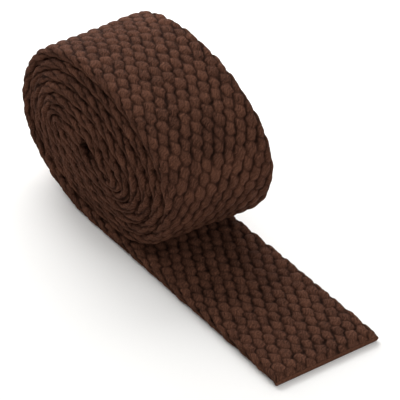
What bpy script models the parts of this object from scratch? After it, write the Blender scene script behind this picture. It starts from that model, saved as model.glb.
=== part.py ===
"""A roll of cotton webbing lying on its own loose end.

One woven strip comes off the bottom of the roll and runs flat to its cut end. The rest
is wound round a flattened core, so the roll is oval, leans a little, and shows the edge
of every turn as a rounded ridge on both faces. The turns drift sideways towards the
core, which stands proud on the face at -Y and lies back on the face at +Y. The winding
is a little looser at +Y, and the roll has sagged flat where it lies on the surface.

The length of the loose end runs along X, the roll's axis along Y, and Z is up.
"""

import math

import bmesh
import bpy
import numpy as np

# The strip
WIDTH = 0.025
THICKNESS = 0.0020
EDGE_ROUNDING = 0.00035
LOOSE_LENGTH = 0.0521

# The wound form
HALF_HEIGHT = 0.01555
FOLD_REACH = 0.00845
FULLNESS = 0.38
LEAN = math.radians(10.3)
TURNS = 6.53
CLIMB_START = 0.72
FLARE = 0.02

# The flat spot: how far the underside is pressed in, its curve before that, and how high it reaches
FLAT_SPOT_DEPTH = 0.00062
UNDERSIDE_RADIUS = 0.034
SAG_HEIGHT = 0.008

# The gap at the core, between the two legs of the strip's first fold
CORE_GAP = 0.0006
CORE_REACH = 0.0014

# How fine the surface is
STEPS_PER_TURN = 64
COLUMNS = 4
LOOSE_STEPS = 24

# Where the ridge of an edge lies across the thickness
RIDGE_HEIGHTS = (0.3, 0.7)

# Sideways place of the strip's middle, by turns wound back from the loose end
DRIFT = np.array(
    [(0.0, -0.0008), (0.4, 0.0001), (0.95, 0.0001), (2.0, -0.0007), (4.0, -0.0018), (7.0, -0.0027)],
    dtype=[("turn", float), ("shift", float)],
)

COTTON_BROWN = (0.125, 0.058, 0.040, 1.0)


def eased(amount):
    """0 to 1 with a level start and end."""
    amount = np.clip(amount, 0.0, 1.0)
    return amount * amount * (3.0 - 2.0 * amount)


def section_point(angle, radius, pull):
    """Point of a leaning, flattened ring: round ends of this radius, pulled apart by this reach."""
    reach = pull * np.cos(angle)
    along = reach + radius * np.cos(angle) + FULLNESS * reach * np.sin(angle) ** 2
    across = radius * np.sin(angle)
    x = -math.cos(LEAN) * along + math.sin(LEAN) * across
    z = math.sin(LEAN) * along + math.cos(LEAN) * across
    return x, z


def lowest_point():
    """Angle, X and Z at which the outer ring first touches the surface."""
    angle = np.radians(np.linspace(-120.0, -60.0, 1201))
    x, z = section_point(angle, HALF_HEIGHT, FOLD_REACH)
    first = np.argmin(z)
    return angle[first], x[first], z[first]


def set_down(x, height, touch_x):
    """Height after the roll has sagged on the surface: pressed flat below, unchanged higher up."""
    pressed = np.maximum(FLAT_SPOT_DEPTH - (x - touch_x) ** 2 / (2.0 * UNDERSIDE_RADIUS), 0.0)
    raised = pressed * (1.0 - eased(height / SAG_HEIGHT))
    return np.maximum(height - FLAT_SPOT_DEPTH + raised, 0.0)


def layer_line(turn):
    """Outer side of the layer that is wound back by this many turns from the loose end.

    The ring shrinks from the outline to the core gap by one layer a turn. Over the last
    part of the outer turn it drops by a whole layer, where it climbs onto the loose end.
    Past the strip's inner end the line is the wall of the short core gap.
    """
    start, touch_x, lowest = lowest_point()
    angle = start + 2.0 * math.pi * turn
    part = turn - np.floor(turn)
    layers = TURNS + 1.0
    climb = eased((part - CLIMB_START) / (1.0 - CLIMB_START))
    outline = (1.0 - climb / layers) / (1.0 - part / layers)
    radius = CORE_GAP + (HALF_HEIGHT - CORE_GAP) * outline * (1.0 - turn / layers)
    closing = eased((turn - TURNS) / 0.12)
    x, z = section_point(angle, radius, FOLD_REACH + (CORE_REACH - FOLD_REACH) * closing)
    return x, set_down(x, z - lowest, touch_x)


def drift(turn):
    return np.interp(turn, DRIFT["turn"], DRIFT["shift"])


def flared(x, y, z):
    """Point of the wound form, which is a little larger towards +Y and smaller towards -Y."""
    size = 1.0 + FLARE * y / (WIDTH / 2.0)
    return x * size, y, z * size


class Surface:
    """Vertices and faces gathered for one mesh."""

    def __init__(self):
        self.points = []
        self.faces = []
        self.count = 0

    def add(self, x, y, z):
        """Adds a grid of vertices and returns their numbers in the same layout."""
        x, y, z = np.broadcast_arrays(x, y, z)
        self.points.append(np.stack([x, y, z], axis=-1).reshape(-1, 3))
        numbers = self.count + np.arange(x.size).reshape(x.shape)
        self.count += x.size
        return numbers

    def skin(self, grid, flip=False):
        """Faces between the rows and columns of a grid of vertex numbers."""
        a, b, c, d = grid[:-1, :-1], grid[1:, :-1], grid[1:, 1:], grid[:-1, 1:]
        corners = (a, d, c, b) if flip else (a, b, c, d)
        self.faces += np.stack(corners, axis=-1).reshape(-1, 4).tolist()

    def cap(self, ring, flip=False):
        """One flat face over a ring of vertex numbers."""
        self.faces.append([int(n) for n in (ring[::-1] if flip else ring)])


def ridge_rows(surface, outer, inner, steps, side):
    """The two lines along the rounded edge of the wound strip, one row of vertices each."""
    middle = drift(steps) + side * WIDTH / 2.0
    rows = []
    for height in RIDGE_HEIGHTS:
        x = outer[0] + height * (inner[0] - outer[0])
        z = outer[1] + height * (inner[1] - outer[1])
        rows.append(surface.add(*flared(x, middle, z)))
    return np.array(rows)


def wound_strip(surface):
    """Skins both faces of the roll, its outer turn and the core gap. Returns the ring at the loose end."""
    last = round(TURNS * STEPS_PER_TURN)
    turn = np.arange(last + STEPS_PER_TURN + 1) / STEPS_PER_TURN
    x, z = layer_line(turn)
    shared = (drift(turn) + drift(np.maximum(turn - 1.0, 0.0))) / 2.0
    half = WIDTH / 2.0 - EDGE_ROUNDING
    near = surface.add(*flared(x, shared - half, z))
    far = surface.add(*flared(x, shared + half, z))

    inside = np.linspace(-1.0, 1.0, COLUMNS + 1)[1:-1]
    walls = {}
    for name, rows in (
        ("outer", slice(0, STEPS_PER_TURN + 1)),
        ("core", slice(last, last + STEPS_PER_TURN + 1)),
    ):
        y = shared[rows, None] + half * inside[None, :]
        columns = surface.add(*flared(x[rows, None], y, z[rows, None]))
        walls[name] = np.column_stack([near[rows], columns, far[rows]])
    surface.skin(walls["outer"])
    surface.skin(walls["core"], flip=True)

    layer = turn[: last + 1]
    outer = (x[: last + 1], z[: last + 1])
    inner = (x[STEPS_PER_TURN:], z[STEPS_PER_TURN:])
    near_ridge = ridge_rows(surface, outer, inner, layer, -1.0)
    far_ridge = ridge_rows(surface, outer, inner, layer, 1.0)
    for rim, ridge, flip in ((near, near_ridge, True), (far, far_ridge, False)):
        band = np.vstack([rim[: last + 1], ridge, rim[STEPS_PER_TURN:]])
        surface.skin(band.T, flip=flip)

    def ring_at(step, outer_row, inner_row):
        return np.concatenate(
            [outer_row, far_ridge[:, step], inner_row[::-1], near_ridge[::-1, step]]
        )

    surface.cap(ring_at(last, walls["core"][0], walls["core"][-1]), flip=True)
    return ring_at(0, walls["outer"][0], walls["outer"][-1])


def loose_end(surface, start_ring):
    """Runs the strip flat along the surface, from the bottom of the roll to its cut end."""
    start_x = layer_line(0.0)[0]
    start_top = layer_line(1.0)[1]
    run = np.linspace(0.0, 1.0, LOOSE_STEPS + 1)[1:, None] * LOOSE_LENGTH
    top = start_top + (THICKNESS - start_top) * eased(run / 0.012)
    middle = drift(0.0)
    half = WIDTH / 2.0
    across = np.linspace(EDGE_ROUNDING - half, half - EDGE_ROUNDING, COLUMNS + 1)
    up = np.array(RIDGE_HEIGHTS)
    y = np.concatenate([across, [half, half], across[::-1], [-half, -half]]) + middle
    height = np.concatenate([0.0 * across, up, 0.0 * across + 1.0, up[::-1]])
    grid = surface.add(start_x + run, y[None, :], top * height[None, :])
    grid = np.vstack([start_ring[None, :], grid])
    grid = np.column_stack([grid, grid[:, 0]])
    surface.skin(grid, flip=True)
    surface.cap(grid[-1, :-1])


def cotton():
    material = bpy.data.materials.new("woven_cotton_brown")
    material.use_nodes = True
    shader = material.node_tree.nodes["Principled BSDF"]
    shader.inputs["Base Color"].default_value = COTTON_BROWN
    shader.inputs["Roughness"].default_value = 0.95
    material.diffuse_color = COTTON_BROWN
    return material


def build_roll(collection):
    surface = Surface()
    loose_end(surface, wound_strip(surface))
    points = np.vstack(surface.points)
    low, high = points.min(axis=0), points.max(axis=0)
    points[:, :2] -= ((low + high) / 2.0)[:2]

    mesh = bpy.data.meshes.new("webbing_roll")
    mesh.from_pydata(points.tolist(), [], surface.faces)
    mesh.validate()
    build = bmesh.new()
    build.from_mesh(mesh)
    bmesh.ops.recalc_face_normals(build, faces=build.faces)
    build.to_mesh(mesh)
    build.free()
    mesh.polygons.foreach_set("use_smooth", [True] * len(mesh.polygons))
    mesh.set_sharp_from_angle(angle=math.radians(40.0))
    roll = bpy.data.objects.new("webbing_roll", mesh)
    roll.data.materials.append(cotton())
    collection.objects.link(roll)


def main():
    for obj in list(bpy.data.objects):
        bpy.data.objects.remove(obj, do_unlink=True)
    collection = bpy.data.collections.new("cotton_webbing_roll")
    bpy.context.scene.collection.children.link(collection)
    build_roll(collection)


main()
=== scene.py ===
"""A roll of brown cotton webbing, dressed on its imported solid.

The webbing is one woven strip. Its loose end lies flat, its outer turn wraps the roll and its inner
turns show their edges on both faces. Each of the three is one closed skin, carried along the same
line, so the weave runs through from one to the next.
"""

import logging
import math
from dataclasses import dataclass, field
from enum import Enum

import bpy
import numpy as np
from mathutils import Matrix, Vector


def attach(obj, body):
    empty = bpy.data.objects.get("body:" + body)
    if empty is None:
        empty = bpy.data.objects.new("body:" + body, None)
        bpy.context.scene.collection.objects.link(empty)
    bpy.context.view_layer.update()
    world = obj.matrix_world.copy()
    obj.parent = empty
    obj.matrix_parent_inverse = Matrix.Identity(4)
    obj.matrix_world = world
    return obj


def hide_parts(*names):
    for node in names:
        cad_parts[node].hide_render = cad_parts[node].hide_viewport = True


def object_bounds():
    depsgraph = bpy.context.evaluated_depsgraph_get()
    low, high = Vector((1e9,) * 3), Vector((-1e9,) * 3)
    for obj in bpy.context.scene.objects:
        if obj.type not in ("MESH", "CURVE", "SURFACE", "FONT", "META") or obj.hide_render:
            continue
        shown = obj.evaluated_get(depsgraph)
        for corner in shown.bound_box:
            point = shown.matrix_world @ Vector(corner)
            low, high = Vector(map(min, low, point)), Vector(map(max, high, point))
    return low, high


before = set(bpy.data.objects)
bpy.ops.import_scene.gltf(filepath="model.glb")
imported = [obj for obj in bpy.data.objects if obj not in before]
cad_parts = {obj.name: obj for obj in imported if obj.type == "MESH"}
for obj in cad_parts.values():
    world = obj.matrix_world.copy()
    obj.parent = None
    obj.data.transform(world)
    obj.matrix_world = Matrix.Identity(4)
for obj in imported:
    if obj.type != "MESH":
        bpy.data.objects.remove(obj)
CAD_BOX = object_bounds()

LOG = logging.getLogger("webbing")
MM = 0.001

# A quarter of the way round the strip's section, from the middle of a face to the middle of an edge
QUARTER = 0.25


def linear(hex_colour: str) -> tuple[float, float, float, float]:
    """Turns an sRGB hex colour into linear light.

    Args:
        hex_colour: Six hex digits, such as "7a4a36".

    Returns:
        Red, green, blue and alpha, each from 0 to 1.
    """
    parts = [int(hex_colour[i : i + 2], 16) / 255.0 for i in (0, 2, 4)]
    light = [p / 12.92 if p <= 0.04045 else ((p + 0.055) / 1.055) ** 2.4 for p in parts]
    return (light[0], light[1], light[2], 1.0)


def eased(amount: np.ndarray) -> np.ndarray:
    """Runs from 0 to 1 with a level start and end: 3t^2 - 2t^3.

    Args:
        amount: Any numbers; those outside 0 to 1 are held at the ends.

    Returns:
        The eased numbers.
    """
    held = np.clip(amount, 0.0, 1.0)
    return held * held * (3.0 - 2.0 * held)


class Stretch(Enum):
    """The three lengths of the strip, each its own piece."""

    LOOSE_END = "loose_end"
    OUTER_TURN = "outer_turn"
    INNER_TURNS = "inner_turns"


@dataclass(frozen=True)
class StripSize:
    """Sizes of the webbing itself, in metres."""

    width: float = 25.0 * MM
    thickness: float = 2.0 * MM
    loose_length: float = 52.1 * MM


@dataclass(frozen=True)
class WoundForm:
    """The flattened spiral that the strip is wound to, in metres and turns."""

    half_height: float = 15.55 * MM
    fold_reach: float = 8.45 * MM
    fullness: float = 0.38
    lean: float = math.radians(10.3)
    flat_spot_depth: float = 0.62 * MM
    underside_radius: float = 34.0 * MM
    sag_height: float = 8.0 * MM
    climb_start: float = 0.72
    core_gap: float = 0.10 * MM
    inner_end: float = 6.53
    void_turns: float = 0.10
    flare: float = 0.02
    # Where the ring's lowest point is looked for, in degrees, and at how many angles
    search: tuple[float, float] = (-120.0, -60.0)
    search_steps: int = 1201

    def section_point(self, angle: np.ndarray, radius: np.ndarray) -> tuple[np.ndarray, np.ndarray]:
        """Point of a leaning, flattened ring.

        Before it leans, along = (f + r) cos a + k f cos a sin^2 a and across = r sin a, where a is
        the angle, r the radius, f the fold's reach and k its fullness.

        Args:
            angle: Angle round the ring, in radians.
            radius: Radius of the ring's round ends.

        Returns:
            X and Z of the point.
        """
        reach = self.fold_reach * np.cos(angle)
        along = reach + radius * np.cos(angle) + self.fullness * reach * np.sin(angle) ** 2
        across = radius * np.sin(angle)
        x = -math.cos(self.lean) * along + math.sin(self.lean) * across
        z = math.sin(self.lean) * along + math.cos(self.lean) * across
        return x, z

    def lowest(self) -> tuple[float, float, float]:
        """Finds where the outer ring first touches the surface.

        Returns:
            The angle there, and X and Z of the ring there before it is set down.
        """
        angle = np.radians(np.linspace(*self.search, self.search_steps))
        x, z = self.section_point(angle, np.full_like(angle, self.half_height))
        first = int(np.argmin(z))
        return float(angle[first]), float(x[first]), float(z[first])

    def set_down(self, x: np.ndarray, height: np.ndarray, touch_x: float) -> np.ndarray:
        """Height after the roll has sagged on the surface.

        The underside is pressed in by p = max(d - (x - t)^2 / 2R, 0), where d is the flat spot's
        depth, t the place of first touch and R the underside's radius. The press fades out higher
        up.

        Args:
            x: X of each point.
            height: Height above the lowest point.
            touch_x: X of the lowest point.

        Returns:
            The new heights, none below the surface.
        """
        away = (x - touch_x) ** 2 / (2.0 * self.underside_radius)
        pressed = np.maximum(self.flat_spot_depth - away, 0.0)
        raised = pressed * (1.0 - eased(height / self.sag_height))
        return np.maximum(height - self.flat_spot_depth + raised, 0.0)

    def layer_line(self, turn: np.ndarray) -> tuple[np.ndarray, np.ndarray]:
        """Outer side of the layer wound back by this many turns from the loose end.

        Its radius is r = g + (H - g)(1 - e/L)(1 - n/L)/(1 - q/L), where g is the core gap, H the
        outline's half height, n the turn, q the part of that turn gone by and L the number of
        layers. So each turn holds nearly level and drops by a layer over its last part, by the
        eased climb e, where the outer one climbs onto the loose end. L falls by one past the
        strip's inner end, eased over a short way, which leaves a small void there.

        Args:
            turn: Turns wound back from the loose end.

        Returns:
            X and Z of the line.
        """
        start, touch_x, lowest = self.lowest()
        angle = start + 2.0 * math.pi * turn
        part = turn - np.floor(turn)
        climb = eased((part - self.climb_start) / (1.0 - self.climb_start))
        past_end = np.mod(turn - self.inner_end, 1.0)
        layers = self.inner_end + past_end + 1.0 - eased(past_end / self.void_turns)
        outline = (1.0 - climb / layers) / (1.0 - part / layers)
        inward = 1.0 - turn / layers
        radius = self.core_gap + (self.half_height - self.core_gap) * outline * inward
        x, z = self.section_point(angle, radius)
        return x, self.set_down(x, z - lowest, touch_x)


@dataclass(frozen=True)
class Drift:
    """How far the middle of the strip lies to one side, by turns wound back from the loose end."""

    turns: tuple[float, ...] = (0.0, 0.4, 0.95, 2.0, 4.0, 7.0)
    shifts: tuple[float, ...] = (-0.8 * MM, 0.1 * MM, 0.1 * MM, -0.7 * MM, -1.8 * MM, -2.7 * MM)

    def at(self, turn: np.ndarray) -> np.ndarray:
        """Sideways place of the strip's middle.

        Args:
            turn: Turns wound back from the loose end; the loose end itself is below 0.

        Returns:
            The shift along Y, in metres.
        """
        return np.interp(turn, self.turns, self.shifts)


@dataclass
class StripLine:
    """The strip's middle line from its cut end to its inner end, tabled by length along it."""

    size: StripSize
    form: WoundForm
    drift: Drift
    samples_per_turn: int = 720
    loose_samples: int = 600
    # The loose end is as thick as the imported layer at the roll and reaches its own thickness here
    settle_length: float = 12.0 * MM
    # The flare ends this far along the loose end
    flare_fade: float = 4.0 * MM
    length: np.ndarray = field(init=False)
    table: dict[str, np.ndarray] = field(init=False)
    loose: float = field(init=False)
    outer: float = field(init=False)
    shift_x: float = field(init=False)
    shift_y: float = field(init=False)

    def __post_init__(self) -> None:
        """Lays the straight loose end and the spiral end to end and measures along them."""
        count = round(self.form.inner_end * self.samples_per_turn)
        turn = np.arange(count + 1) / self.samples_per_turn
        outer = np.array(self.form.layer_line(turn))
        inner = np.array(self.form.layer_line(turn + 1.0))
        run = np.linspace(self.size.loose_length, 0.0, self.loose_samples)[:-1]
        start_top = inner[1, 0]
        top = start_top + (self.size.thickness - start_top) * eased(run / self.settle_length)
        floor = np.array([outer[0, 0] + run, np.zeros_like(run)])
        outer = np.hstack([floor, outer])
        inner = np.hstack([floor + [np.zeros_like(run), top], inner])
        turn = np.concatenate([-run / self.size.loose_length, turn])
        middle = (outer + inner) / 2.0
        step = np.hypot(*np.diff(middle, axis=1))
        self.length = np.concatenate([[0.0], np.cumsum(step)])
        across = outer - inner
        thick = np.hypot(*across)
        normal = across / thick
        sideways = self.drift.at(turn)
        back_along = -turn * self.size.loose_length
        self.shift_x = CAD_BOX[1][0] - float(outer[0, 0])
        self.shift_y = CAD_BOX[1][1] - float(sideways.max()) - self.size.width / 2.0
        self.table = {
            "x": middle[0],
            "z": middle[1],
            "nx": normal[0],
            "nz": normal[1],
            "thick": thick,
            "y": sideways,
            "flare": self.form.flare * (1.0 - eased(back_along / self.flare_fade)),
        }
        self.loose = float(self.length[len(run)])
        self.outer = float(np.interp(1.0, turn, self.length))

    def at(self, length: np.ndarray) -> dict[str, np.ndarray]:
        """Reads the table at these lengths from the cut end.

        Args:
            length: Lengths along the strip, in metres.

        Returns:
            Place, outward normal, thickness, sideways shift and flare, by name.
        """
        return {key: np.interp(length, self.length, row) for key, row in self.table.items()}


@dataclass(frozen=True)
class Floats:
    """What the weave gives at each point of the skin: depth, the yarn's tone, place on the yarn."""

    sink: np.ndarray
    tone: np.ndarray
    along: np.ndarray
    across: np.ndarray


@dataclass(frozen=True)
class Weave:
    """Warp-faced plain weave: thick plied warp yarns that rise and dip in turn over hidden picks.

    Lengths are in metres. Tilt, slant and twist are slopes, and calm and narrow are shares.
    """

    # Yarns once round the strip, so half as many cross each face
    columns: int = 42
    pick: float = 2.26 * MM
    rise: float = 0.27 * MM
    # Rounds off the top and bottom of each rise, so that a yarn stays near them for longer
    rise_fullness: float = 0.25
    crown: float = 0.43 * MM
    half_width: float = 1.02 * MM
    swell: float = 0.10 * MM
    tilt: float = 0.38
    tilt_turnover: float = 1.5
    slant: float = -0.20
    stagger: float = -0.14 * MM

    # No two floats are quite alike
    uneven_width: float = 0.12 * MM
    uneven_place: float = 0.13 * MM
    uneven_height: float = 0.10 * MM
    uneven_slant: float = 0.14
    floats_drawn: int = 509
    seed: int = 11

    # Two ripples, by length over 2 pi and count round the strip, roughen the floats' outlines
    waver: float = 0.075 * MM
    ripple_lengths: tuple[float, float] = (0.31 * MM, 0.43 * MM)
    ripple_counts: tuple[float, float] = (23.0, -29.0)
    ripple_phase: float = 1.7
    second_ripple: float = 0.6
    waver_along: float = 1.6

    # The edge yarns are flatter and narrower, and the picks turn back round them
    edge_reach: float = 1.7 * MM
    edge_full: float = 0.4
    edge_calm: float = 0.55
    edge_narrow: float = 0.26
    edge_loop: float = 0.17 * MM
    edge_loop_power: float = 0.6
    edge_twist: float = 0.35

    def floats(self, length: np.ndarray, around: np.ndarray, girth: float) -> Floats:
        """Height of the woven surface below its highest level.

        Yarn k rises by v = c(1 + f - f c^2), where c = cos(pi(s/p + k)), s is the length, p the
        pick and f the fullness of its rise. Across it stands an arch a = sqrt(1 - (d/b)^2)
        (1 - t d/b), where d is the distance from its middle, b its half width and t its tilt,
        which changes sides with the face. Its height is h = A(v - 1) + C(a - 1), less its own
        unevenness, with A the rise and C the crown. The highest yarn shows. At the edges the
        surface sinks between the loops of the picks. Two ripples first shift s and the place
        round the strip by a little.

        Args:
            length: Lengths along the strip, one a row.
            around: Places round the strip's section, one a column.
            girth: Length once round the section.

        Returns:
            Sink below the top, tone of the yarn and the place on the yarn.
        """
        pitch = girth / self.columns
        rng = np.random.default_rng(self.seed)
        chance = rng.uniform(-1.0, 1.0, (5, self.columns, self.floats_drawn))
        round_angle = 2.0 * math.pi * np.mod(around, girth)[None, :] / girth
        wave, other = (
            np.sin(length[:, None] / scale + count * round_angle + phase)
            for scale, count, phase in zip(
                self.ripple_lengths, self.ripple_counts, (0.0, self.ripple_phase)
            )
        )
        s = length[:, None] + self.waver * self.waver_along * other
        u = np.mod(around[None, :] + self.waver * (wave + self.second_ripple * other), girth)
        first = np.floor(u / pitch).astype(int)
        from_edge = np.abs(np.mod(u, girth / 2.0) - girth / 4.0)
        fade = (1.0 - self.edge_full) * self.edge_reach
        edge = 1.0 - eased((from_edge - self.edge_full * self.edge_reach) / fade)
        lift = self.rise * (1.0 - self.edge_calm * edge)
        facing = np.clip(self.tilt_turnover * np.cos(2.0 * math.pi * u / girth), -1.0, 1.0)
        best = None
        # Only these four yarns are near enough to reach a point
        for offset in (-1, 0, 1, 2):
            column = first + offset
            ring = np.mod(column, self.columns)
            late = self.stagger * np.mod(ring, 2)
            beat = (s - late) / self.pick + ring
            crest = np.rint(beat / 2.0).astype(int)
            pick_of = np.mod(crest, chance.shape[2])
            wide, place, high, tone, turned = (chance[i, ring, pick_of] for i in range(5))
            rise = np.cos(math.pi * beat)
            rise = rise * (1.0 + self.rise_fullness - self.rise_fullness * rise * rise)
            along = s - late - (2.0 * crest - ring) * self.pick
            slant = self.slant + self.uneven_slant * turned
            across = u - column * pitch - self.uneven_place * place - slant * along
            half = self.half_width * (1.0 - self.edge_narrow * edge)
            half = half + self.swell * rise + self.uneven_width * wide
            arch = np.sqrt(np.clip(1.0 - (across / half) ** 2, 0.0, 1.0))
            arch = arch * (1.0 - self.tilt * facing * across / half)
            height = lift * (rise - 1.0) + self.crown * (arch - 1.0)
            height = height + self.uneven_height * (high - 1.0) * (0.5 + 0.5 * rise)
            layer = np.stack(np.broadcast_arrays(height, tone, along, across))
            best = layer if best is None else np.where(layer[:1] > best[:1], layer, best)
        side = (np.mod(u, girth / 2.0) - girth / 4.0) / pitch
        loop = np.abs(np.sin(math.pi * (s / self.pick + self.edge_twist * side)))
        best[0] -= self.edge_loop * edge * (1.0 - loop**self.edge_loop_power)
        return Floats(*best)


@dataclass(frozen=True)
class Fineness:
    """How closely a piece's skin follows its weave."""

    steps_per_pick: int
    outer_steps: tuple[float, ...]
    inner_steps: tuple[float, ...]


def spaced(edge: float, coarse: int, fine: int) -> tuple[float, ...]:
    """Places across one quarter of the section, coarse in its middle and fine near the edge.

    Args:
        edge: Share of the girth near the edge that is fine.
        coarse: Steps in the middle.
        fine: Steps near the edge.

    Returns:
        Places from 0, the middle of a face, to the quarter's end at the edge's middle.
    """
    middle = np.linspace(0.0, QUARTER - edge, coarse + 1)[:-1]
    return tuple(np.concatenate([middle, np.linspace(QUARTER - edge, QUARTER, fine + 1)]))


@dataclass
class WovenPiece:
    """One length of the strip as a closed woven skin."""

    stretch: Stretch
    line: StripLine
    weave: Weave
    start: float
    end: float
    fineness: Fineness

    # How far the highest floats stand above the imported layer
    float_rise: float = 0.22 * MM
    # Nothing comes nearer to the surface below than this
    clearance: float = 0.02 * MM
    # Depth below the highest floats at which the "height" map is 0; it is 1 at the top. The finish
    # paints shade into the pits by this map
    map_depth: float = 0.74 * MM

    # The cut end is pressed thinner over its last stretch, and its yarn ends stand out as low domes
    cut_end: bool = False
    cap_rows: int = 8
    yarn_end: float = 0.30 * MM
    pressed_length: float = 1.2 * MM
    pressed_by: float = -0.55 * MM
    pressed_drop: float = 0.42 * MM
    # What every map says on the cut itself; on the "height" map this lays part of the painted pit
    # shade over the cut
    cap_value: float = 0.6

    def section(self, half: np.ndarray, around: np.ndarray) -> tuple[np.ndarray, ...]:
        """Slab section with round edges: its two flat faces joined by half circles.

        Args:
            half: Half the strip's thickness, one a row.
            around: Place round the section as a share of its girth, one a column, from -1/4 to
                3/4.

        Returns:
            Place across and height of the section's points, and both parts of their outward
            direction.
        """
        width = self.line.size.width
        flat = width / 2.0 - half
        girth = 4.0 * flat + 2.0 * math.pi * half
        place = around * girth
        face = np.where(np.abs(place) <= girth / 4.0, 1.0, -1.0)
        folded = np.where(face > 0.0, place, girth / 2.0 - place)
        past = np.maximum(np.abs(folded) - flat, 0.0)
        turn = np.minimum(past / half, math.pi / 2.0)
        side = np.sign(folded)
        out_y = side * np.sin(turn)
        out_h = face * np.cos(turn)
        across = side * np.minimum(np.abs(folded), flat) + half * out_y
        return across, half * out_h, out_y, out_h

    def build(self) -> bpy.types.Object:
        """Builds the skin, its caps and the maps that the cotton finish reads.

        A point is m + n h, where m is the strip's middle line, n its outward normal and h the
        section's height less the weave's sink. The roll is a little larger towards +Y.

        Returns:
            The new object, linked to the scene.
        """
        size = self.line.size
        picks = (self.end - self.start) / self.weave.pick
        steps = round(picks * self.fineness.steps_per_pick)
        length = np.linspace(self.start, self.end, steps + 1)
        outer = np.array(self.fineness.outer_steps)
        inner = np.array(self.fineness.inner_steps)
        half_round = 2.0 * QUARTER
        around = np.concatenate(
            [-outer[::-1], outer[1:], half_round - inner[::-1][1:], (half_round + inner)[1:-1]]
        )
        girth = 4.0 * (size.width / 2.0 - size.thickness / 2.0) + math.pi * size.thickness
        woven = self.weave.floats(length, around * girth, girth)
        at = {key: row[:, None] for key, row in self.line.at(length).items()}
        half = 0.5 * at["thick"] + self.float_rise
        across, height, out_y, out_h = self.section(half, around[None, :])
        pressed = 1.0 - eased(length[:, None] / self.pressed_length) if self.cut_end else 0.0
        across = across + woven.sink * (1.0 - pressed) * out_y
        height = height + (woven.sink + (self.pressed_by - woven.sink) * pressed) * out_h
        x = at["x"] + at["nx"] * height
        y = at["y"] + across
        z = at["z"] + at["nz"] * height - self.pressed_drop * pressed
        z = np.maximum(z, self.clearance)
        larger = 1.0 + at["flare"] * y / (size.width / 2.0)
        points = np.stack(
            [x * larger + self.line.shift_x, y + self.line.shift_y, z * larger], axis=-1
        )
        return self.mesh(points, woven, length, around * girth)

    def mesh(
        self, points: np.ndarray, woven: Floats, length: np.ndarray, around: np.ndarray
    ) -> bpy.types.Object:
        """Turns the grid of points into a closed mesh with its maps.

        Args:
            points: Places, rows along the strip and columns round it.
            woven: What the weave gives at each.
            length: Length along the strip of each row.
            around: Place round the section of each column.

        Returns:
            The new object.
        """
        rows, columns = points.shape[:2]
        numbers = np.arange(rows * columns).reshape(rows, columns)
        wrapped = np.column_stack([numbers, numbers[:, :1]])
        quads = np.stack(
            [wrapped[:-1, :-1], wrapped[:-1, 1:], wrapped[1:, 1:], wrapped[1:, :-1]], axis=-1
        ).reshape(-1, 4)
        name = "webbing_" + self.stretch.value
        mesh = bpy.data.meshes.new(name)
        flat = points.reshape(-1, 3)
        faces = quads.tolist() + [numbers[-1].tolist()]
        if self.cut_end:
            flat, more = self.cut_face(points, flat)
            faces += more
        else:
            faces += [numbers[0, ::-1].tolist()]
        # A negative volume means that the faces point inwards
        first, second, third = (flat[quads[:, i]] for i in (0, 1, 2))
        volume = np.einsum("ij,ij->i", first, np.cross(second, third)).sum()
        if volume < 0.0:
            faces = [face[::-1] for face in faces]
        mesh.from_pydata(flat.tolist(), [], faces)
        mesh.polygons.foreach_set("use_smooth", np.ones(len(mesh.polygons), bool))
        extra = len(flat) - rows * columns
        for key, values in (
            ("height", 1.0 + woven.sink / self.map_depth),
            ("tone", woven.tone),
            ("along", woven.along / MM),
            ("across", woven.across / MM),
        ):
            layer = mesh.attributes.new(key, "FLOAT", "POINT")
            full = np.concatenate([values.ravel(), np.full(extra, self.cap_value)])
            layer.data.foreach_set("value", full.astype(np.float32))
        corner = np.empty(len(mesh.loops), np.int32)
        mesh.loops.foreach_get("vertex_index", corner)
        cloth = np.stack(np.broadcast_arrays(around[None, :], length[:, None]), axis=-1)
        cloth = np.vstack([cloth.reshape(-1, 2), flat[rows * columns :, 1:]])
        unrolled = (cloth[corner] / MM).astype(np.float32).ravel()
        mesh.uv_layers.new(name="cloth").data.foreach_set("uv", unrolled)
        ends = np.empty(len(mesh.edges) * 2, np.int32)
        mesh.edges.foreach_get("vertices", ends)
        ends = ends.reshape(-1, 2)
        rim = (ends < columns).all(axis=1)
        rim |= ((ends >= (rows - 1) * columns) & (ends < rows * columns)).all(axis=1)
        # The rims of both ends shade sharp, so that a cap doesn't darken the last floats
        mesh.attributes.new("sharp_edge", "BOOLEAN", "EDGE").data.foreach_set("value", rim)
        mesh.validate()
        mesh.update()
        piece = bpy.data.objects.new(name, mesh)
        bpy.context.scene.collection.objects.link(piece)
        return piece

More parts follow.
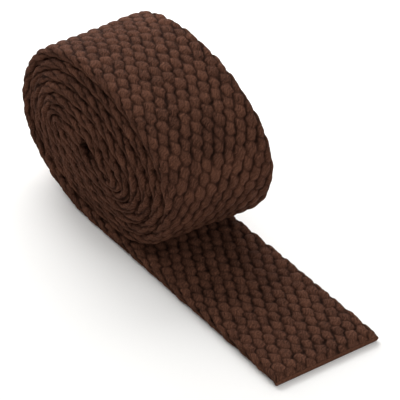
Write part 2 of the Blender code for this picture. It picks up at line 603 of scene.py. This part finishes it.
    def cut_face(self, points: np.ndarray, flat: np.ndarray) -> tuple[np.ndarray, list[list[int]]]:
        """Closes the cut end with two rows of cut yarn ends, each a low dome.

        The dome's height is e(sqrt(|sin(pi y/w) sin(2 pi t)|) - 1/2), where e is how far a yarn end
        stands out, y the place across, w the width of a yarn and t the share of the way down.

        Args:
            points: Places, rows along the strip and columns round it; the first row is the cut.
            flat: The same places as one list.

        Returns:
            The list with the new places at its end, and the new faces.
        """
        count = points.shape[1] // 2
        top = np.arange(count + 1)
        bottom = np.mod(2 * count - top, 2 * count)
        share = np.linspace(0.0, 1.0, self.cap_rows + 1)[1:-1, None, None]
        inside = points[0, top[1:-1]] * (1.0 - share) + points[0, bottom[1:-1]] * share
        place = inside[..., 1] / (self.line.size.width / (self.weave.columns / 2.0))
        across = np.abs(np.sin(math.pi * place))
        down = np.abs(np.sin(2.0 * math.pi * share[..., 0]))
        inside[..., 0] += self.yarn_end * (np.sqrt(across * down) - 0.5)
        new = len(flat) + np.arange(inside[..., 0].size).reshape(inside.shape[:2])
        grid = np.vstack([top[1:-1], new, bottom[1:-1]])
        quads = np.stack([grid[:-1, :-1], grid[1:, :-1], grid[1:, 1:], grid[:-1, 1:]], axis=-1)
        faces = quads.reshape(-1, 4).tolist()
        faces += [[0, int(b), int(a)] for a, b in zip(grid[:-1, 0], grid[1:, 0])]
        faces += [[count, int(a), int(b)] for a, b in zip(grid[:-1, -1], grid[1:, -1])]
        return np.vstack([flat, inside.reshape(-1, 3)]), faces


class NodeBoard:
    """The nodes of one material."""

    def __init__(self, name: str) -> None:
        """Starts an empty material.

        Args:
            name: Name of the material.
        """
        self.material = bpy.data.materials.new(name)
        self.material.use_nodes = True
        self.tree = self.material.node_tree
        self.tree.nodes.clear()

    def add(self, kind: str, inputs: dict | None = None, **settings: object) -> bpy.types.Node:
        """Adds one node, sets it up and joins it to others.

        Args:
            kind: Node type, such as "ShaderNodeMath".
            inputs: Values or output sockets by input name or number.
            **settings: Properties of the node itself.

        Returns:
            The new node.
        """
        node = self.tree.nodes.new(kind)
        for key, value in settings.items():
            setattr(node, key, value)
        for key, value in (inputs or {}).items():
            if isinstance(value, bpy.types.NodeSocket):
                self.tree.links.new(value, node.inputs[key])
            else:
                node.inputs[key].default_value = value
        return node

    def math(self, operation: str, *values: object) -> bpy.types.NodeSocket:
        """Adds one sum.

        Args:
            operation: Name of the sum, such as "MULTIPLY_ADD".
            *values: Numbers or sockets, in order.

        Returns:
            The socket that holds the result.
        """
        node = self.add("ShaderNodeMath", dict(enumerate(values)), operation=operation)
        return node.outputs[0]

    def attribute(self, name: str) -> bpy.types.NodeSocket:
        """Reads one number that the mesh carries at each point.

        Args:
            name: Name of the attribute.

        Returns:
            The socket that holds it.
        """
        return self.add("ShaderNodeAttribute", attribute_name=name).outputs["Fac"]


@dataclass(frozen=True)
class TwistedCotton:
    """Dyed cotton yarn, plied and woven: matte, with soft fibre ends and fine ply grooves.

    Cotton scatters nearly all its light, so the eye gets no gloss, only a faint sheen of fibre
    ends on the crowns. Shade is painted into the colour of the pits between the yarns and, a
    little, of the ply grooves. Patterns are scaled in millimetres of cloth or yarn.
    """

    shade: str = "38231a"
    tip: str = "714a39"
    # Painted shade: near black, laid by depth into the pits between the yarns
    pit_painted_shade: str = "24140d"
    sheen: str = "b0704f"

    # The twist: grooves across each yarn on the slant, wavering with the fibres
    ply_pitch_mm: float = 0.85
    ply_slope: float = 0.9
    ply_waver: float = 5.0
    ply_shift: float = 2.0

    # A real fibre is about 0.02 mm wide, too fine to show, so bundles of them are drawn instead
    fibre_mm: float = 0.13
    fibre_spread: float = 1.6
    fibre_slope: float = -0.5
    fibre_stretch: float = 0.7
    yarn_step: float = 40.0

    # Noise scales a millimetre: loose fibre ends about 0.4 mm apart, and dye that took unevenly
    # over about a centimetre
    fuzz_scale: float = 2.6
    dye_scale: float = 0.11

    # How much each moves the colour between shade and tip
    middle: float = 0.42
    tone_share: float = 0.10
    dye_share: float = 0.5
    fuzz_share: float = 1.3
    fibre_share: float = 2.0
    # Painted shade: these two darken the colour a little along the ply grooves, with little change
    # to its mean
    ply_groove_shade: float = 0.12
    ply_middle: float = 0.08

    # Heights on the "height" map between which the painted shade in the pits fades out: full below
    # the first, none above the second
    painted_shade_full_below: float = 0.12
    painted_shade_none_above: float = 0.76

    # How much each stands out in the relief, whose depth is real
    ply_relief: float = 0.9
    fibre_relief: float = 2.4
    fuzz_relief: float = 1.2
    relief_depth: float = 0.10 * MM

    def material(self) -> bpy.types.Material:
        """Builds the finish.

        Returns:
            The material.
        """
        board = NodeBoard("plied_cotton_dyed_brown")
        height = board.attribute("height")
        tone = board.attribute("tone")
        along = board.attribute("along")
        across = board.attribute("across")

        # Ply grooves cross each yarn on the slant, so every float looks twisted.
        slope = board.math("MULTIPLY_ADD", across, self.ply_slope, along)
        turns = board.math("MULTIPLY", slope, math.pi / self.ply_pitch_mm)

        # Fibres run nearly with the ply: long thin noise, far narrower than a yarn.
        fibre_way = board.math("MULTIPLY_ADD", across, self.fibre_slope, along)
        lengthwise = board.math("MULTIPLY", fibre_way, self.fibre_stretch)
        crosswise = board.math("DIVIDE", slope, self.fibre_mm * self.fibre_spread)
        yarn_place = board.math("MULTIPLY", tone, self.yarn_step)
        place = board.add("ShaderNodeCombineXYZ", {0: lengthwise, 1: crosswise, 2: yarn_place})
        fibres = board.add(
            "ShaderNodeTexNoise",
            {"Vector": place.outputs[0], "Scale": 1.0, "Detail": 3.0, "Roughness": 0.65},
        )

        phase = board.math("MULTIPLY_ADD", fibres.outputs["Fac"], self.ply_waver, turns)
        phase = board.math("MULTIPLY_ADD", tone, self.ply_shift, phase)
        ply = board.math("ABSOLUTE", board.math("SINE", phase))

        # Fine fuzz has no direction and breaks up the light on the crowns.
        cloth = board.add("ShaderNodeUVMap", uv_map="cloth").outputs[0]
        fuzz = board.add(
            "ShaderNodeTexNoise",
            {"Vector": cloth, "Scale": self.fuzz_scale, "Detail": 4.0, "Roughness": 0.75},
        )
        dye = board.add(
            "ShaderNodeTexNoise", {"Vector": cloth, "Scale": self.dye_scale, "Detail": 2.0}
        )

        blend = board.math("MULTIPLY_ADD", tone, self.tone_share, self.middle)
        for noise, share in (
            (dye, self.dye_share),
            (fuzz, self.fuzz_share),
            (fibres, self.fibre_share),
        ):
            centred = board.math("SUBTRACT", noise.outputs["Fac"], 0.5)
            blend = board.math("MULTIPLY_ADD", centred, share, blend)
        # Painted shade: the colour darkens along the ply grooves, where the relief is low as well
        blend = board.math("SUBTRACT", blend, self.ply_middle)
        blend = board.math("MULTIPLY_ADD", ply, self.ply_groove_shade, blend)
        yarn = board.add(
            "ShaderNodeMix",
            {"Factor": blend, "A": linear(self.shade), "B": linear(self.tip)},
            data_type="RGBA",
        )
        # Painted shade: little light gets down between the yarns, so their colour is darkened to
        # near black in the pits, the deeper the darker, by the "height" map.
        unshaded_share = board.add(
            "ShaderNodeMapRange",
            {"Value": height, "From Min": self.painted_shade_full_below, "From Max": self.painted_shade_none_above},
            interpolation_type="SMOOTHSTEP",
        )
        colour = board.add(
            "ShaderNodeMix",
            {"Factor": unshaded_share.outputs[0], "A": linear(self.pit_painted_shade), "B": yarn.outputs["Result"]},
            data_type="RGBA",
        )
        relief = board.math("MULTIPLY", fibres.outputs["Fac"], self.fibre_relief)
        relief = board.math("MULTIPLY_ADD", ply, self.ply_relief, relief)
        relief = board.math("MULTIPLY_ADD", fuzz.outputs["Fac"], self.fuzz_relief, relief)
        bump = board.add(
            "ShaderNodeBump", {"Strength": 1.0, "Distance": self.relief_depth, "Height": relief}
        )
        shader = board.add(
            "ShaderNodeBsdfPrincipled",
            {
                "Base Color": colour.outputs["Result"],
                "Roughness": 0.92,
                "Specular IOR Level": 0.06,
                "Sheen Weight": 0.05,
                "Sheen Roughness": 0.45,
                "Sheen Tint": linear(self.sheen),
                "Normal": bump.outputs[0],
            },
        )
        board.add("ShaderNodeOutputMaterial", {"Surface": shader.outputs[0]})
        return board.material


@dataclass
class Webbing:
    """The whole strip: loose end, outer turn and inner turns."""

    size: StripSize = field(default_factory=StripSize)
    form: WoundForm = field(default_factory=WoundForm)
    drift: Drift = field(default_factory=Drift)
    weave: Weave = field(default_factory=Weave)
    finish: TwistedCotton = field(default_factory=TwistedCotton)

    def pieces(self) -> list[WovenPiece]:
        """Divides the strip where the loose end meets the roll and where the outer turn ends.

        Returns:
            The three pieces, from the cut end inwards.
        """
        line = StripLine(self.size, self.form, self.drift)
        LOG.info("strip is %.0f mm long", line.length[-1] / MM)
        even = spaced(0.06, 42, 12)
        edge_only = spaced(0.07, 5, 13)
        fine = Fineness(10, even, even)
        faced = Fineness(10, even, edge_only)
        plain = Fineness(7, edge_only, edge_only)
        last = float(line.length[-1])
        return [
            WovenPiece(Stretch.LOOSE_END, line, self.weave, 0.0, line.loose, fine, cut_end=True),
            WovenPiece(Stretch.OUTER_TURN, line, self.weave, line.loose, line.outer, faced),
            WovenPiece(Stretch.INNER_TURNS, line, self.weave, line.outer, last, plain),
        ]

    def build(self) -> None:
        """Builds the three pieces, dresses them and hands them to the frame."""
        cotton = self.finish.material()
        for part in self.pieces():
            piece = part.build()
            piece.data.materials.append(cotton)
            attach(piece, "root")
            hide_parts("webbing_roll")
            count = sum(len(face.vertices) - 2 for face in piece.data.polygons)
            long = (part.end - part.start) / MM
            LOG.info("%s: %.1f mm long, %d triangles", piece.name, long, count)


@dataclass(frozen=True)
class Studio:
    """Pale floor, soft light and the camera at the photo's angle."""

    azimuth: float = math.radians(45.76)
    elevation: float = math.radians(35.48)
    roll: float = math.radians(8.8)
    distance: float = 389.3 * MM
    target: tuple[float, float, float] = (1.36 * MM, 1.23 * MM, 10.57 * MM)
    lens_mm: float = 187.6
    floor_colour: str = "f4f3f1"
    floor_half: float = 3.0
    aim: tuple[float, float, float] = (0.0, 0.0, 10.0 * MM)
    surroundings: float = 0.60

    def camera(self) -> None:
        """Sets the camera, turned a little about its own line of sight as in the photo."""
        a, e = self.azimuth, self.elevation
        back = Vector((math.sin(a) * math.cos(e), -math.cos(a) * math.cos(e), math.sin(e)))
        right = Vector((math.cos(a), math.sin(a), 0.0))
        up = back.cross(right)
        turned_right = math.cos(self.roll) * right + math.sin(self.roll) * up
        turned_up = -math.sin(self.roll) * right + math.cos(self.roll) * up
        axes = Matrix((turned_right, turned_up, back)).transposed()
        data = bpy.data.cameras.new("camera")
        data.lens = self.lens_mm
        data.clip_start = 10.0 * MM
        camera = bpy.data.objects.new("camera", data)
        place = Vector(self.target) + back * self.distance
        camera.matrix_world = Matrix.Translation(place) @ axes.to_4x4()
        bpy.context.scene.collection.objects.link(camera)
        bpy.context.scene.camera = camera

    def floor(self) -> None:
        """Lays a pale floor under the roll."""
        board = NodeBoard("pale_matte_card")
        shader = board.add(
            "ShaderNodeBsdfPrincipled",
            {"Base Color": linear(self.floor_colour), "Roughness": 0.9, "Specular IOR Level": 0.1},
        )
        board.add("ShaderNodeOutputMaterial", {"Surface": shader.outputs[0]})
        half = self.floor_half
        corners = [(-half, -half, 0), (half, -half, 0), (half, half, 0), (-half, half, 0)]
        mesh = bpy.data.meshes.new("floor")
        mesh.from_pydata(corners, [], [(0, 1, 2, 3)])
        mesh.materials.append(board.material)
        floor = bpy.data.objects.new("floor", mesh)
        bpy.context.scene.collection.objects.link(floor)

    def light(
        self, name: str, place: tuple[float, float, float], size: float, watts: float
    ) -> None:
        """Adds one soft square light aimed at the roll.

        Args:
            name: Name of the light.
            place: Where it stands, in metres.
            size: Length of its side, in metres.
            watts: Its power.
        """
        data = bpy.data.lights.new(name, "AREA")
        data.size = size
        data.energy = watts
        lamp = bpy.data.objects.new(name, data)
        lamp.location = place
        aim = Vector(self.aim) - Vector(place)
        lamp.rotation_mode = "QUATERNION"
        lamp.rotation_quaternion = aim.to_track_quat("-Z", "Y")
        bpy.context.scene.collection.objects.link(lamp)

    def build(self) -> None:
        """Sets camera, floor, lights and the white surroundings."""
        self.camera()
        self.floor()
        self.light("left_softbox", (-0.30, -0.02, 0.18), 0.25, 0.75)
        self.light("back_softbox", (-0.24, 0.14, 0.18), 0.30, 1.20)
        self.light("right_softbox", (0.35, 0.10, 0.20), 0.30, 0.35)
        world = bpy.data.worlds.new("white_surroundings")
        world.use_nodes = True
        background = world.node_tree.nodes["Background"]
        background.inputs["Color"].default_value = (1.0, 1.0, 1.0, 1.0)
        background.inputs["Strength"].default_value = self.surroundings
        bpy.context.scene.world = world
        bpy.context.scene.view_settings.view_transform = "Standard"


def main() -> None:
    """Builds the studio and the webbing, and logs the strip's length and each piece's length and
    triangles.
    """
    logging.basicConfig(level=logging.INFO, format="%(name)s: %(message)s")
    Studio().build()
    Webbing().build()


if __name__ == "__main__":
    main()
